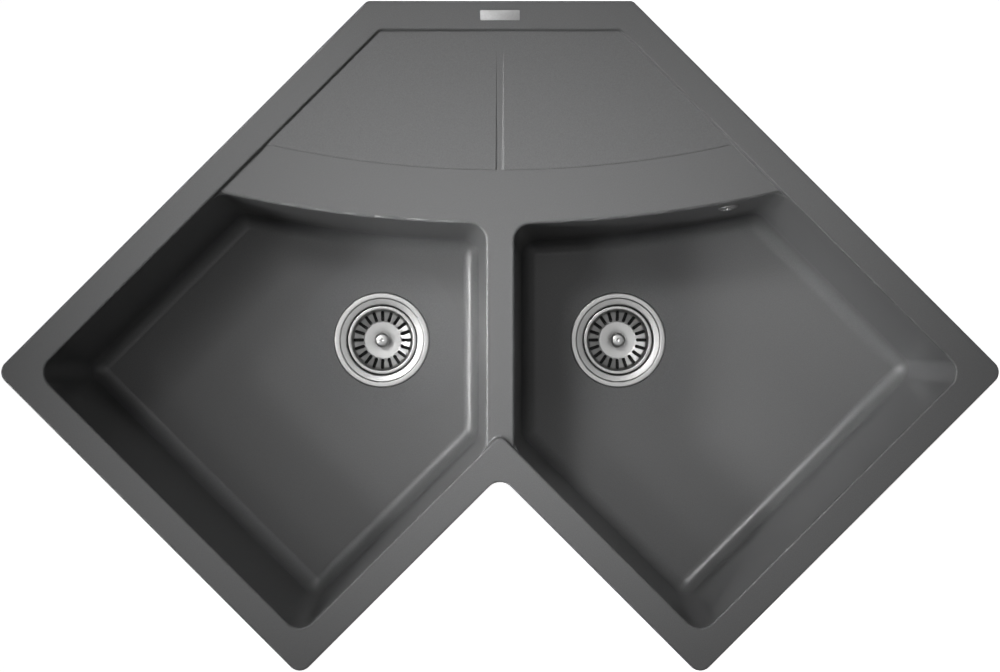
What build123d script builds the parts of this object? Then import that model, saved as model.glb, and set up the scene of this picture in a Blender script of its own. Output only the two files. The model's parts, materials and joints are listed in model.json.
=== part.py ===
from build123d import *
import os
from math import asin, atan2, cos, degrees, hypot, pi, radians, sin, sqrt, tan

# Corner kitchen sink with two bowls and a drainer, moulded in quartz composite.
# Millimetres, +Z up, front towards -Y, symmetric about x = 0. The worktop's top is z = 0,
# and the origin lies in the middle of the bearing face behind the drainer.

# plan of the rim, seen as a corner worktop with its two walls at 45 degrees
arm_length = 778.0          # from the walls' corner line to the end of an arm
arm_depth = 469.0           # across an arm, wall side to room side
rear_width = 290.0          # the cut corner at the back
outer_corner_radius = 14.0
rear_corner_radius = 8.0
notch_radius = 17.0
rim_width = 32.0
rim_height = 9.0            # rim above the worktop
rim_outer_round = 2.0
rim_inner_round = 2.5
bearing_width = 12.0        # overlap of the rim on the worktop

# drainer, ledge and divider inside the rim
drainer_drop = 4.0
ledge_drop = 5.3
drainer_depth = 184.0       # rear edge to the drainer's front step, at the middle
drainer_radius = 1177.0
ledge_depth = 243.0         # rear edge to the bowls, at the middle
ledge_radius = 1373.0
divider_width = 31.0
edge_round = 3.0
drainer_cove = 1.8
ledge_cove = 2.6
tray_rear_radius = 8.0
tray_notch_radius = 9.0
plate_thickness = 9.0
groove_width = 7.5
groove_flare = 1.2
groove_start = 47.0
groove_slope = 40.0
groove_depth = 2.6

# bowls
bowl_depth = 200.0
wall_draft = 3.0
wall_thickness = 8.0
floor_thickness = 8.0
corner_radius = 19.0        # of the bowls' uprights and foot
floor_fall = 1.2            # of the dish around the drain
dish_radius = 96.0
drain_x = 140.7
drain_setback = 370.5
drain_hole_radius = 45.0
drain_pad = 3.0
drain_pad_radius = 58.0

# basket wastes
flange_radius = 56.5
flange_ridge_radius = 50.3
flange_edge_fall = 0.5
flange_seat = 0.6
flange_clearance = 0.5
cup_radius = 43.0
cup_depth = 27.0
cup_draft = 1.2
cup_shoulder = 4.0           # from the seat down to the cup's wall
sheet_thickness = 1.2
cup_window_inner = 11.0
cup_window_outer = 20.5
cup_window_count = 6
cup_spoke_width = 4.0
flange_seal_thickness = 1.0
countersink_radius = 50.2
countersink_depth = 4.4
seal_inner_radius = 50.6
flange_seal_outer_radius = 53.8
body_seal_inner_radius = 46.5
body_seal_thickness = 3.0
body_flange_radius = 55.0
body_flange_thickness = 4.0
body_wall = 3.0
body_bore_radius = 45.4
body_depth = 46.0
body_cone = 18.0
outlet_thread_radius = 23.9
outlet_bore_radius = 20.0
outlet_length = 38.0
hub_radius = 8.5
hub_length = 16.0
hub_rib_count = 3
hub_rib_thickness = 3.5
hub_rib_step = 4.0           # the ribs end this far below the hub's top
screw_radius = 5.0
screw_head_radius = 8.5
screw_head_height = 2.2
thread_clearance = 0.05
pin_radius = 3.0
pin_clearance = 0.06
inlet_length = 30.0
inlet_depth = 33.0

# baskets
basket_radius = 41.0
basket_sheet = 0.9
basket_rim_drop = 5.2
basket_rim_width = 4.5
basket_lip = 2.4
basket_wall_top_radius = 36.2
basket_floor_radius = 22.4
basket_floor_drop = 20.6
slot_count = 20
slot_inner_radius = 23.6
slot_outer_radius = 34.6
slot_width = 2.7
knob_radius = 7.4
knob_height = 6.0
knob_crown = 2.6
knob_neck_radius = 3.6
knob_rise = 17.5
stopper_radius = 26.0
stopper_gap = 0.3
pin_drop = 18.0

# overflow, in the right bowl's rear wall
overflow_x = 255.0
overflow_drop = 46.0
overflow_hole_radius = 8.0
overflow_seat_radius = 12.5
overflow_seat_depth = 0.6
overflow_back_cut = 0.4
rosette_radius = 11.5
rosette_height = 3.0
rosette_sheet = 1.2
rosette_window_inner = 4.6
rosette_window_outer = 7.2
rosette_window_count = 4
overflow_screw_radius = 2.0
overflow_screw_head = 3.9
overflow_seal_thickness = 2.0
overflow_seal_outer = 13.0
elbow_flange_radius = 14.0
elbow_flange_thickness = 3.0
elbow_radius = 11.0
elbow_length = 22.0
elbow_post_radius = 4.0
elbow_axis_setback = 11.0
elbow_wall = 2.0
spigot_radius = 9.4
spigot_bore = 7.4
spigot_drop = 34.0

# overflow hose
hose_bore = 9.45
hose_root = 10.9
hose_cuff_radius = 11.6
hose_bend = 60.0
hose_cuff = 20.0
clamp_width = 9.0
clamp_band = 0.9
clamp_ear = 5.0

# rim clips, turned under the worktop when the sink is in place
worktop_thickness = 38.0
clip_inset = 19.0
clip_boss_radius = 6.0
clip_boss_web = 9.0
clip_boss_drop = 30.0
clip_wall_station = 330.0
clip_far_station = 630.0
clip_side_station = 235.0
clip_room_station = 150.0
clip_thickness = 2.0
clip_width = 12.0
clip_arm = 14.0
clip_tip = 18.0
clip_lip = 2.5
clip_play = 0.1
insert_across = 8.0           # across the flats of the moulded-in insert
insert_length = 20.0
clip_screw_radius = 2.5
clip_screw_across = 9.0       # across the flats of the head
clip_screw_head_height = 3.2
clip_screw_length = 16.0

# sealing strip under the rim, name plate and tap knock-out
strip_width = 5.0
strip_depth = 2.0
strip_inset = 3.5
plate_length = 43.0
plate_width = 11.0
plate_sheet = 0.6
plate_setback = 16.0
tap_hole_radius = 17.5
tap_hole_skin = 3.0
tap_setback = 213.0

rear_y = bearing_width / 2
rear_half = rear_width / 2
drainer_z = rim_height - drainer_drop
ledge_z = rim_height - ledge_drop
under_z = ledge_z - plate_thickness
floor_z = rim_height - bowl_depth
drain_y = rear_y - drain_setback
flat_z = floor_z + dish_radius * tan(radians(floor_fall))
wall_slope = tan(radians(wall_draft))
pad_z = floor_z - floor_thickness - drain_pad
mouth_z = ledge_z - edge_round - 2.0
tray_join_z = rim_height - rim_inner_round - 0.2
seat_z = floor_z - flange_seat
flange_z = seat_z + flange_seal_thickness
flange_top_z = flange_z + sheet_thickness
cup_floor_z = flange_top_z - cup_depth
hub_top_z = cup_floor_z - sheet_thickness
hub_low_z = hub_top_z - hub_length
body_top_z = pad_z - body_seal_thickness
inlet_z = pad_z - inlet_depth
inlet_tip = body_bore_radius + body_wall + inlet_length
basket_top_z = flange_top_z - basket_rim_drop
basket_floor_z = flange_top_z - basket_floor_drop
stopper_z = cup_floor_z + stopper_gap
overflow_back = overflow_seat_depth + overflow_back_cut - wall_thickness
elbow_face = overflow_back - overflow_seal_thickness
elbow_back = elbow_face - elbow_flange_thickness
reach = 2.0 * arm_length
root2 = sqrt(2.0)


def rim_lines(inset):
    """x + y on the wall side, y - x at the arm's end and x + y on the room side, on the right."""
    wall = rear_y + rear_half - inset * root2
    end = rear_y + rear_half - arm_length * root2 + inset * root2
    room = rear_y + rear_half - arm_depth * root2 + inset * root2
    return wall, end, room


def rim_corners(inset):
    """The right half's corners: rear, arm's wall side, arm's room side and notch."""
    wall, end, room = rim_lines(inset)
    rear = rear_y - inset
    return (
        (wall - rear, rear),
        ((wall - end) / 2, (wall + end) / 2),
        ((room - end) / 2, (room + end) / 2),
        (0.0, room),
    )


def rim_plan(inset):
    """The whole rim's outline, moved in by inset, with sharp corners."""
    right = rim_corners(inset)
    left = [(-x, y) for x, y in right[:3]]
    return make_face(Polyline(*right, *reversed(left), close=True))


def upright_near(solid, points):
    """The upright or drafted corner edges of a solid that stand by any of the plan points."""
    found = []
    for edge in solid.edges():
        middle = edge @ 0.5
        if abs((edge % 0.5).Z) < 0.9:
            continue
        if any(hypot(middle.X - x, middle.Y - y) < 3 * rim_height for x, y in points):
            found.append(edge)
    return found


def both_sides(points):
    return [(side * x, y) for x, y in points for side in (1, -1)]


def rounded_rim(solid, inset, rear_radius, outer_radius, inner_radius):
    rear, wall_end, room_end, notch = rim_corners(inset)
    solid = fillet(upright_near(solid, both_sides([rear])), rear_radius)
    solid = fillet(upright_near(solid, both_sides([wall_end, room_end])), outer_radius)
    return fillet(upright_near(solid, [notch]), inner_radius)


def level_edges(solid, z):
    return [e for e in solid.edges() if abs((e @ 0).Z - z) < 1e-4 and abs((e @ 1).Z - z) < 1e-4]


def rim_slab():
    slab = extrude(rim_plan(0.0), rim_height)
    slab = rounded_rim(slab, 0.0, rear_corner_radius, outer_corner_radius, notch_radius)
    return fillet(level_edges(slab, rim_height), rim_outer_round)


def drafted(plan, high_z, low_z, angle):
    """A plan carried down between two levels, its walls leaning inwards by an angle."""
    solid = extrude(Pos(0, 0, low_z) * plan, high_z - low_z)
    walls = [f for f in solid.faces() if abs(f.normal_at().Z) < 0.1]
    return draft(walls, Plane((0, 0, high_z)), -angle)


def rim_hollow(inset, low_z, high_z=rim_height):
    """The space inside the rim between two levels, with drafted sides and sharp foot."""
    hollow = drafted(rim_plan(inset), rim_height, low_z, wall_draft)
    hollow = rounded_rim(hollow, inset, tray_rear_radius, corner_radius, tray_notch_radius)
    return hollow & slice_between(low_z, high_z)


def slice_between(low_z, high_z):
    return Pos(0, 0, (low_z + high_z) / 2) * Box(2 * reach, 2 * reach, high_z - low_z)


def tray(level, cove):
    """The hollow inside the rim down to a level, with a cove at its foot."""
    hollow = rim_hollow(rim_width, level)
    return fillet(level_edges(hollow, level), cove)


def arc_front(setback, radius):
    """Everything in front of an arc that bulges forwards, its middle set back from the rear edge."""
    apex = rear_y - setback
    front = Rectangle(2 * reach, 2 * reach)
    arc = Pos(0, apex + radius) * Circle(radius)
    return front - arc


def bowl_plan(grow, spill):
    """Plan of the right bowl at the rim's top, moved out by grow, and by spill at the rim too."""
    wall, end, room = rim_lines(rim_width - grow - spill)
    half = divider_width / 2 - grow
    radius = ledge_radius - grow
    centre = rear_y - ledge_depth + ledge_radius
    along = wall - centre
    x_wall = (along + sqrt(2 * radius**2 - along**2)) / 2
    x_mid = (x_wall + half) / 2
    rear_wall = (x_wall, wall - x_wall)
    rear_mid = (x_mid, centre - sqrt(radius**2 - x_mid**2))
    rear_divider = (half, centre - sqrt(radius**2 - half**2))
    side = [
        rear_wall,
        ((wall - end) / 2, (wall + end) / 2),
        ((room - end) / 2, (room + end) / 2),
        (half, room - half),
        rear_divider,
    ]
    lines = [Line(side[i], side[i + 1]) for i in range(4)]
    return make_face(Wire([*lines, ThreePointArc(rear_divider, rear_mid, rear_wall)]))


def bowl_prism(grow, spill, deep):
    """The bowl's drafted walls, with sharp upright corners."""
    return drafted(bowl_plan(grow, spill), rim_height, rim_height - deep, wall_draft)


def uprights(solid):
    return [e for e in solid.edges() if abs((e % 0.5).Z) > 0.9]


def bowl_form(grow, base_z):
    """A bowl as a solid, its upright corners and its foot rounded alike."""
    form = bowl_prism(grow, 0.0, rim_height - base_z)
    return fillet(uprights(form) + level_edges(form, base_z), corner_radius + grow)


def bowl_hollow():
    """The space in the right bowl below its mouth, its floor dished around the drain."""
    bowl = bowl_form(0.0, flat_z) & slice_between(floor_z, mouth_z)
    dish = turned([(0, floor_z), (dish_radius, flat_z), (dish_radius, flat_z + 1), (0, flat_z + 1)])
    return bowl + Pos(drain_x, drain_y) * dish


def bowl_mouth():
    """The bowl's top over the ledge and divider, with their rounded edges, spilling into the rim."""
    low_z = mouth_z - plate_thickness
    prism = bowl_prism(0.0, wall_thickness, rim_height - low_z + 1)
    prism = fillet(uprights(prism), corner_radius)
    block = Pos(0, 0, (low_z + ledge_z) / 2) * Box(2 * reach, 2 * reach, ledge_z - low_z)
    block = block - prism
    lip = [e for e in level_edges(block, ledge_z) if (e @ 0.5).length < 0.9 * reach]
    rounded = fillet(lip, edge_round)
    hollow = slice_between(low_z, ledge_z) & Box(1.9 * reach, 1.9 * reach, reach)
    hollow = hollow - rounded
    top = hollow.faces().sort_by(Axis.Z)[-1]
    return hollow + extrude(top, rim_height - ledge_z, dir=(0, 0, 1))


def tray_floor():
    """Drainer, ledge and divider, down to where the bowls' own walls begin."""
    floor = rim_hollow(rim_width - wall_thickness / 2, mouth_z, tray_join_z)
    front = extrude(arc_front(drainer_depth, drainer_radius), rim_height)
    floor -= tray(drainer_z, drainer_cove)
    floor -= tray(ledge_z, ledge_cove) & front
    floor -= drain_groove()
    mouth = bowl_mouth()
    floor -= mouth
    floor -= mirror(mouth, Plane.YZ)
    return floor


def drain_groove():
    """The wedge that deepens from nothing to the ledge's level."""
    front_y = rear_y - drainer_depth - rim_height
    start_y = rear_y - groove_start
    rear_half_width = groove_width / 2
    front_half_width = groove_width / 2 + groove_flare
    plan = Polyline((-rear_half_width, start_y), (rear_half_width, start_y),
                    (front_half_width, front_y), (-front_half_width, front_y), close=True)
    wedge = drafted(make_face(plan), drainer_z, drainer_z - groove_depth, groove_slope)
    deep = drainer_z - ledge_z
    floor = [(start_y, drainer_z), (front_y, ledge_z), (front_y, drainer_z + deep)]
    above = extrude(Plane.YZ * make_face(Polyline(*floor, close=True)), groove_width, both=True)
    return wedge & above


def clip_places():
    """Each clip's pivot in plan, and its arm's direction at rest and outwards, in degrees."""
    places = []
    rear, wall_end, room_end, notch = rim_corners(0.0)
    step = 1 / root2
    for station in (clip_wall_station, clip_far_station):
        x = (station - clip_inset) * step
        y = rear_y + rear_half - (station + clip_inset) * step
        places.append((x, y, 45.0))
    x = wall_end[0] - (clip_side_station + clip_inset) * step
    y = wall_end[1] - (clip_side_station - clip_inset) * step
    places.append((x, y, -45.0))
    x = room_end[0] - (clip_room_station - clip_inset) * step
    y = room_end[1] + (clip_room_station + clip_inset) * step
    places.append((x, y, -135.0))
    mirrored = [(-x, y, 180.0 - out) for x, y, out in places]
    return places + mirrored


def clip_boss():
    """One boss under the rim, its pivot on Z and the rim's edge towards +X."""
    post = Pos(0, 0, -clip_boss_drop / 2) * Cylinder(clip_boss_radius, clip_boss_drop)
    web = Pos(-clip_boss_web / 2, 0, -clip_boss_drop / 2) * Box(
        clip_boss_web, 2 * clip_boss_radius, clip_boss_drop)
    return post + web


def overflow_plane():
    """The overflow's seat in the right bowl's rear wall, facing into the bowl."""
    centre = rear_y - ledge_depth + ledge_radius
    deep = rim_height - ledge_z + overflow_drop
    radius = ledge_radius + deep * wall_slope
    lean = asin(overflow_x / radius)
    point = (overflow_x, centre - radius * cos(lean), ledge_z - overflow_drop)
    level = cos(radians(wall_draft))
    normal = (sin(lean) * level, -cos(lean) * level, sin(radians(wall_draft)))
    seat = Plane(origin=point, x_dir=(cos(lean), sin(lean), 0), z_dir=normal)
    return seat.offset(-overflow_seat_depth)


def inside_rim(point):
    """True within the rim's inner edge, measured from the outline."""
    wall, end, room = rim_lines(rim_width / 2)
    x, y = abs(point.X), point.Y
    return y < rear_y - rim_width / 2 and x + y < wall and y - x > end and x + y > room


def disc(radius, low, high):
    return Pos(0, 0, (low + high) / 2) * Cylinder(radius, high - low)


def ring(outer, inner, low, high):
    return disc(outer, low, high) - disc(inner, low, high)


def hexagon(across, low, high):
    """A six-sided bar on Z, measured across its flats."""
    return extrude(Pos(0, 0, low) * RegularPolygon(across / 2, 6, major_radius=False), high - low)


def moulding():
    """The basin as it leaves the mould, before its holes."""
    basin = rim_slab()
    basin += drafted(rim_plan(rim_width - wall_thickness), rim_height, under_z, wall_draft)
    shell = bowl_form(wall_thickness, floor_z - floor_thickness)
    shell += Pos(drain_x, drain_y) * disc(drain_pad_radius, pad_z, floor_z)
    basin += shell
    basin += mirror(shell, Plane.YZ)
    for x, y, out in clip_places():
        basin += Pos(x, y) * Rot(0, 0, out) * clip_boss()

    basin -= rim_hollow(rim_width, mouth_z)
    inner = [e for e in level_edges(basin, rim_height) if inside_rim(e @ 0.5)]
    basin = fillet(inner, rim_inner_round)
    bowl = bowl_hollow()
    basin -= bowl
    basin -= mirror(bowl, Plane.YZ)
    return basin + tray_floor()


def sink_basin():
    basin = moulding()
    sink = [(0, seat_z - countersink_depth), (drain_hole_radius, seat_z - countersink_depth),
            (countersink_radius, seat_z), (countersink_radius, seat_z + 1), (0, seat_z + 1)]
    for side in (1, -1):
        here = Pos(side * drain_x, drain_y)
        basin -= here * disc(drain_hole_radius, pad_z - 1, floor_z + 1)
        basin -= here * turned(sink)
        basin -= here * disc(flange_radius + flange_clearance, seat_z, seat_z + floor_thickness)
    seat = overflow_plane()
    basin -= seat * disc(overflow_hole_radius, -2 * wall_thickness, wall_thickness)
    basin -= seat * disc(overflow_seat_radius, 0, overflow_seat_depth + 1)
    basin -= seat * disc(elbow_flange_radius + 1, overflow_back - wall_thickness, overflow_back)
    for x, y, out in clip_places():
        basin -= Pos(x, y) * Rot(0, 0, out) * hexagon(insert_across, -clip_boss_drop, insert_length - clip_boss_drop)
    basin -= Pos(0, rear_y - tap_setback) * disc(tap_hole_radius, under_z - 1, ledge_z - tap_hole_skin)
    basin -= rim_strip()
    return basin


def turned(points):
    return revolve(Plane.XZ * make_face(Polyline(*points, close=True)), Axis.Z)


def sheet_section(points, thickness):
    """The section of a bent sheet, about a centreline given by its corners."""
    normals = []
    for (x0, y0), (x1, y1) in zip(points, points[1:]):
        length = hypot(x1 - x0, y1 - y0)
        normals.append(((y0 - y1) / length, (x1 - x0) / length))
    sides = []
    for half in (thickness / 2, -thickness / 2):
        side = []
        for i, (x, y) in enumerate(points):
            ax, ay = normals[max(i - 1, 0)]
            bx, by = normals[min(i, len(normals) - 1)]
            scale = half / (1 + ax * bx + ay * by)
            side.append((x + (ax + bx) * scale, y + (ay + by) * scale))
        sides.append(side)
    return make_face(Polyline(*sides[0], *reversed(sides[1]), close=True))


def rim_strip():
    """The sealing strip around the underside of the rim."""
    bands = []
    for inset in (strip_inset, strip_inset + strip_width):
        band = extrude(rim_plan(inset), strip_depth)
        rear = max(rear_corner_radius - inset, 1.0)
        bands.append(rounded_rim(band, inset, rear, outer_corner_radius - inset, notch_radius + inset))
    return bands[0] - bands[1]


def badge_plate():
    """The bare plate on the rim's rear edge."""
    plate = Pos(0, rear_y - plate_setback, rim_height + plate_sheet / 2) * Box(
        plate_length, plate_width, plate_sheet)
    corners = [e for e in plate.edges() if abs((e % 0.5).Z) > 0.9]
    return fillet(corners, 1.0)


def strainer_flange():
    """The pressed flange and cup of a basket waste, its axis on Z."""
    half = sheet_thickness / 2
    top = flange_z + half
    line = [
        (flange_radius - 0.2, top - flange_edge_fall),
        (flange_radius - 2.2, top),
        (flange_ridge_radius, top),
        (cup_radius + half, seat_z - cup_shoulder),
        (cup_radius + half - cup_draft, cup_floor_z - half),
        (screw_radius + thread_clearance, cup_floor_z - half),
    ]
    cup = revolve(Plane.XZ * sheet_section(line, sheet_thickness), Axis.Z)
    windows = ring(cup_window_outer, cup_window_inner, cup_floor_z - 2 * sheet_thickness, cup_floor_z + sheet_thickness)
    for i in range(cup_window_count // 2):
        turn = Rot(0, 0, 180 * i / (cup_window_count // 2))
        spoke = Box(3 * cup_window_outer, cup_spoke_width, 6 * sheet_thickness)
        windows -= Pos(0, 0, cup_floor_z) * turn * spoke
    return cup - windows


def flange_seal():
    return ring(flange_seal_outer_radius, seal_inner_radius, seat_z, flange_z)


def body_seal():
    return ring(body_flange_radius, body_seal_inner_radius, body_top_z, pad_z)


def waste_body(inlet):
    """The body under a bowl: cup, cone and threaded outlet, with the screw's hub on ribs."""
    cup_low = body_top_z - body_depth
    cone_low = cup_low - body_cone
    outer = body_bore_radius + body_wall
    shell = turned([
        (body_bore_radius, body_top_z),
        (body_flange_radius, body_top_z),
        (body_flange_radius, body_top_z - body_flange_thickness),
        (outer, body_top_z - body_flange_thickness),
        (outer, cup_low - 2),
        (outlet_thread_radius, cone_low - 2),
        (outlet_thread_radius, cone_low - 2 - outlet_length),
        (outlet_bore_radius, cone_low - 2 - outlet_length),
        (outlet_bore_radius, cone_low),
        (body_bore_radius, cup_low),
    ])
    rib_length = body_bore_radius + body_wall / 2
    rib_height = hub_length - hub_rib_step
    for i in range(hub_rib_count):
        turn = Rot(0, 0, 180 + 360 * i / hub_rib_count)
        shell += turn * Pos(rib_length / 2, 0, hub_low_z + rib_height / 2) * Box(
            rib_length, hub_rib_thickness, rib_height)
    shell += disc(hub_radius, hub_low_z, hub_top_z)
    shell -= disc(screw_radius + thread_clearance, hub_low_z - 1, hub_top_z + 1)
    if inlet:
        start = body_bore_radius + body_wall / 2
        along = Plane(origin=(start, 0, inlet_z), x_dir=(0, 1, 0), z_dir=(1, 0, 0))
        shell += along * disc(spigot_radius, 0, inlet_tip - start)
        shell -= along * disc(spigot_bore, -body_wall, inlet_tip - start + 1)
    return shell


def centre_screw():
    """The hollow screw that draws the body up to the cup, bored for the basket's pin."""
    bore = pin_radius + pin_clearance
    top = cup_floor_z + screw_head_height
    return turned([
        (bore, top - 0.5),
        (bore + 0.5, top),
        (screw_head_radius - 0.8, top),
        (screw_head_radius, top - 0.8),
        (screw_head_radius, cup_floor_z),
        (screw_radius, cup_floor_z),
        (screw_radius, hub_low_z),
        (bore, hub_low_z),
    ])


def basket():
    """The slotted basket that lifts out of the cup."""
    half = basket_sheet / 2
    line = [
        (basket_radius - half, basket_top_z - basket_lip),
        (basket_radius - half, basket_top_z - half),
        (basket_wall_top_radius, basket_top_z - half),
        (basket_floor_radius, basket_floor_z - half),
        (pin_radius + thread_clearance, basket_floor_z - half),
    ]
    shell = revolve(Plane.XZ * sheet_section(line, basket_sheet), Axis.Z)
    middle = (slot_inner_radius + slot_outer_radius) / 2
    slot = extrude(Rectangle(slot_outer_radius - slot_inner_radius, slot_width), basket_floor_drop)
    slots = []
    for i in range(slot_count):
        turn = Rot(0, 0, 90 + 360 * i / slot_count)
        slots.append(turn * Pos(middle, 0, basket_floor_z - 2) * slot)
    return shell - slots


def basket_knob():
    """The knob on its neck, with the guide pin below the basket."""
    top = basket_floor_z + knob_rise
    low = basket_floor_z - pin_drop
    return turned([
        (0, top),
        (knob_radius - knob_crown, top - 0.4),
        (knob_radius - 0.7, top - 1.6),
        (knob_radius, top - 3.2),
        (knob_radius, top - knob_height + 1),
        (knob_radius - 1, top - knob_height),
        (knob_neck_radius, top - knob_height - 0.6),
        (knob_neck_radius, basket_floor_z),
        (pin_radius, basket_floor_z),
        (pin_radius, low + 0.6),
        (pin_radius - 0.6, low),
        (0, low),
    ])


def basket_stopper():
    """The rubber stopper under the basket, hollow over the screw's head."""
    hole = pin_radius + thread_clearance
    recess = screw_head_radius + 1.5
    roof = cup_floor_z + screw_head_height + 0.4
    under = basket_floor_z - basket_sheet
    return turned([
        (hole, under),
        (recess, under),
        (recess + 3, stopper_z + 3.4),
        (stopper_radius - 1.5, stopper_z + 2.6),
        (stopper_radius, stopper_z + 1.4),
        (stopper_radius, stopper_z),
        (recess, stopper_z),
        (recess, roof),
        (hole, roof),
    ])


def overflow_rosette():
    """The pierced cover over the overflow, its seat on Z = 0."""
    cover = turned([
        (rosette_radius, 0),
        (rosette_radius, 1.0),
        (rosette_window_outer + 1.6, rosette_height),
        (overflow_screw_radius + thread_clearance, rosette_height),
        (overflow_screw_radius + thread_clearance, rosette_height - rosette_sheet),
        (rosette_window_outer + 1.0, rosette_height - rosette_sheet),
        (rosette_radius - 1.6, 0),
    ])
    windows = ring(rosette_window_outer, rosette_window_inner, 0.1, rosette_height + 1)
    for i in range(rosette_window_count // 2):
        turn = Rot(0, 0, 45 + 180 * i / (rosette_window_count // 2))
        windows -= turn * Box(3 * rosette_radius, 2.0, 4 * rosette_height)
    return overflow_plane() * (cover - windows)


def overflow_screw():
    low = elbow_back - elbow_length / 2 - 2
    head = rosette_height + 1.4
    screw = turned([
        (0, head),
        (overflow_screw_head - 0.8, head),
        (overflow_screw_head, head - 0.8),
        (overflow_screw_head, rosette_height),
        (overflow_screw_radius, rosette_height),
        (overflow_screw_radius, low),
        (0, low),
    ])
    screw -= Pos(0, 0, head) * Box(3 * overflow_screw_head, 1.0, 1.4)
    return overflow_plane() * screw


def overflow_seal():
    return overflow_plane() * ring(overflow_seal_outer, overflow_hole_radius + 0.5, elbow_face, overflow_back)


def elbow_axis():
    return overflow_plane().from_local_coords((0, 0, elbow_back - elbow_axis_setback))


def overflow_elbow():
    """The hollow elbow behind the overflow, with a spigot straight down."""
    seat = overflow_plane()
    at = elbow_axis()
    end = elbow_back - elbow_length
    wall = elbow_wall
    elbow = seat * (disc(elbow_flange_radius, elbow_back, elbow_face) + disc(elbow_radius, end, elbow_back))
    elbow += Pos(at.X, at.Y, at.Z) * disc(spigot_radius, -spigot_drop, 0)
    cavity = disc(elbow_radius - wall, end + wall, elbow_face + 1)
    post = disc(elbow_post_radius, end, elbow_face)
    post -= disc(overflow_screw_radius + thread_clearance, end + wall, elbow_face + 1)
    elbow -= seat * (cavity - post)
    elbow -= seat * disc(overflow_screw_radius + thread_clearance, end + wall, elbow_face + 1)
    elbow -= Pos(at.X, at.Y, at.Z) * disc(spigot_bore, -spigot_drop - 1, -elbow_post_radius - 1)
    return elbow


def hose_run():
    """The direction from the right drain to the overflow, and the hose's centreline."""
    at = elbow_axis()
    away = Vector(at.X - drain_x, at.Y - drain_y, 0)
    unit = away.normalized()
    drain = Vector(drain_x, drain_y, inlet_z)
    top = Vector(at.X, at.Y, at.Z - spigot_drop + hose_cuff)
    turn = Vector(at.X, at.Y, inlet_z)
    end = drain + unit * (inlet_tip - hose_cuff)
    return degrees(atan2(unit.Y, unit.X)), FilletPolyline(top, turn, end, radius=hose_bend)


def hose_ends():
    """The planes at the hose's ends, each facing along the hose."""
    angle, path = hose_run()
    first = Plane(origin=path @ 0, z_dir=path % 0)
    last = Plane(origin=path @ 1, z_dir=-(path % 1))
    return first, last


def overflow_hose():
    angle, path = hose_run()
    first, last = hose_ends()
    hose = sweep(first * (Circle(hose_root) - Circle(hose_bore)), path=path)
    for end in (first, last):
        hose += end * ring(hose_cuff_radius, hose_bore, 0, hose_cuff)
    return hose


def hose_clamps():
    """The two worm clips on the hose's cuffs."""
    clamps = []
    band = hose_cuff_radius + clamp_band
    for end in hose_ends():
        middle = hose_cuff / 2
        clamp = disc(band, middle - clamp_width / 2, middle + clamp_width / 2)
        clamp += Pos(0, band + clamp_ear / 2 - 1, middle) * Box(2 * clamp_ear, clamp_ear, clamp_width)
        clamp -= disc(hose_cuff_radius, 0, hose_cuff)
        clamps.append(end * clamp)
    return Compound(children=clamps)


def clip_bracket():
    """A cranked clip, its pivot on Z and its arm along +Y, along the rim's edge."""
    half = clip_thickness / 2
    arm_z = -clip_boss_drop - clip_play - half
    tip_z = -worktop_thickness - clip_lip - half
    line = [
        (-clip_width / 2, arm_z),
        (clip_arm, arm_z),
        (clip_arm, tip_z),
        (clip_arm + clip_tip, tip_z),
        (clip_arm + clip_tip, -worktop_thickness),
    ]
    section = sheet_section(line, clip_thickness)
    clip = extrude(Plane.YZ * section, clip_width / 2, both=True)
    corners = [e for e in clip.edges() if (e @ 0.5).Y < -clip_width / 2 + 0.1 and abs((e % 0.5).Z) > 0.9]
    clip = fillet(corners, clip_width / 2 - 0.5)
    return clip - disc(clip_screw_radius + pin_clearance, -worktop_thickness, 0)


def clip_screw():
    """The hexagon-headed screw that a clip turns on, its seat at the boss's foot."""
    seat = -clip_boss_drop
    under_head = seat - clip_thickness - 2 * clip_play
    head = hexagon(clip_screw_across, under_head - clip_screw_head_height, under_head)
    return head + disc(clip_screw_radius, under_head, seat + clip_screw_length)


def clip_insert():
    """The threaded insert moulded into a boss."""
    low = -clip_boss_drop
    bar = hexagon(insert_across, low, low + insert_length)
    return bar - disc(clip_screw_radius + thread_clearance, low, low + insert_length)


def at_clips(solid):
    return Compound(children=[Pos(x, y) * Rot(0, 0, out) * solid for x, y, out in clip_places()])


def nodes():
    """Every separate piece, in its place."""
    right = Pos(drain_x, drain_y)
    left = Pos(-drain_x, drain_y)
    angle, path = hose_run()
    flange = strainer_flange()
    lifting = {"basket": basket(), "basket_knob": basket_knob(), "basket_stopper": basket_stopper()}
    fixed = {
        "strainer_flange": flange,
        "flange_seal": flange_seal(),
        "body_seal": body_seal(),
        "centre_screw": centre_screw(),
    }
    made = {
        "sink_basin": sink_basin(),
        "rim_strip": rim_strip(),
        "badge_plate": badge_plate(),
        "waste_body_left": left * waste_body(False),
        "waste_body_right": right * Rot(0, 0, angle) * waste_body(True),
        "overflow_rosette": overflow_rosette(),
        "overflow_screw": overflow_screw(),
        "overflow_seal": overflow_seal(),
        "overflow_elbow": overflow_elbow(),
        "overflow_hose": overflow_hose(),
        "hose_clamps": hose_clamps(),
        "clip_screws": at_clips(clip_screw()),
        "clip_inserts": at_clips(clip_insert()),
    }
    for name, solid in (fixed | lifting).items():
        made[name + "_left"] = left * solid
        made[name + "_right"] = right * solid
    bracket = clip_bracket()
    for i, (x, y, out) in enumerate(clip_places(), start=1):
        made[f"rim_clip_{i}"] = Pos(x, y) * Rot(0, 0, out) * bracket
    return made


def main():
    os.makedirs("parts", exist_ok=True)
    for name, solid in nodes().items():
        export_step(solid, f"parts/{name}.step")


if __name__ == "__main__":
    main()
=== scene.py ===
import json
import math

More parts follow.
